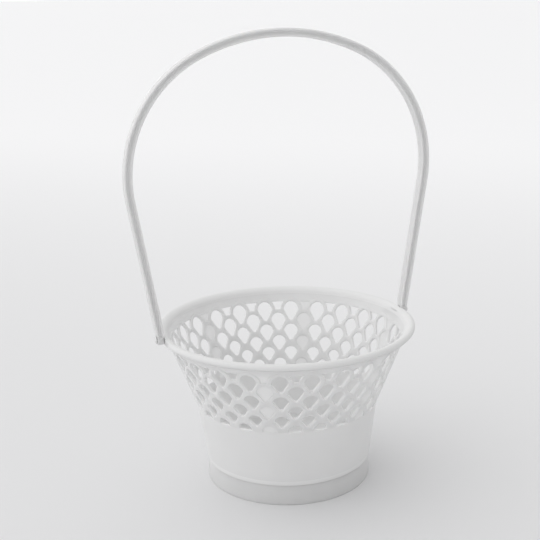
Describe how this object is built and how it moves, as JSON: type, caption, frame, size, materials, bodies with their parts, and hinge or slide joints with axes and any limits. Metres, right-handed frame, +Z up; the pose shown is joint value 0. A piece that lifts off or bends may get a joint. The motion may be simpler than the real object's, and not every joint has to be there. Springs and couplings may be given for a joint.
{
  "type": "flower girl basket",
  "caption": "White moulded openwork basket with a flared scalloped lattice wall, a rolled-edge rim, a raised floor on a foot, and a horseshoe handle that swings on two pegs.",
  "frame": {"origin": "middle of the foot's resting face, on the basket's axis", "axes": "+Z up along the basket's axis, +X through the right-hand pivot peg, +Y towards the back"},
  "size_m": [0.1928, 0.16, 0.2775],
  "materials": {
    "bowl_plastic": "satin white injection-moulded polypropylene",
    "handle_plastic": "satin white injection-moulded polypropylene"
  },
  "bodies": {
    "bowl": {"foot_ring": "bowl_plastic", "floor": "bowl_plastic", "lower_wall": "bowl_plastic", "openwork_panel_1": "bowl_plastic", "openwork_panel_2": "bowl_plastic", "openwork_panel_3": "bowl_plastic", "openwork_panel_4": "bowl_plastic", "openwork_panel_5": "bowl_plastic", "openwork_panel_6": "bowl_plastic", "upper_band": "bowl_plastic", "rim": "bowl_plastic", "peg_block_left": "bowl_plastic", "peg_block_right": "bowl_plastic", "pivot_peg_left": "bowl_plastic", "pivot_peg_right": "bowl_plastic"},
    "handle": {"handle": "handle_plastic"}
  },
  "joints": [
    {"name": "handle_swing", "type": "hinge", "parent": "bowl", "child": "handle", "pos_m": [0, 0, 0.0979], "axis": [1, 0, 0], "range_deg": [-120, 120]}
  ]
}
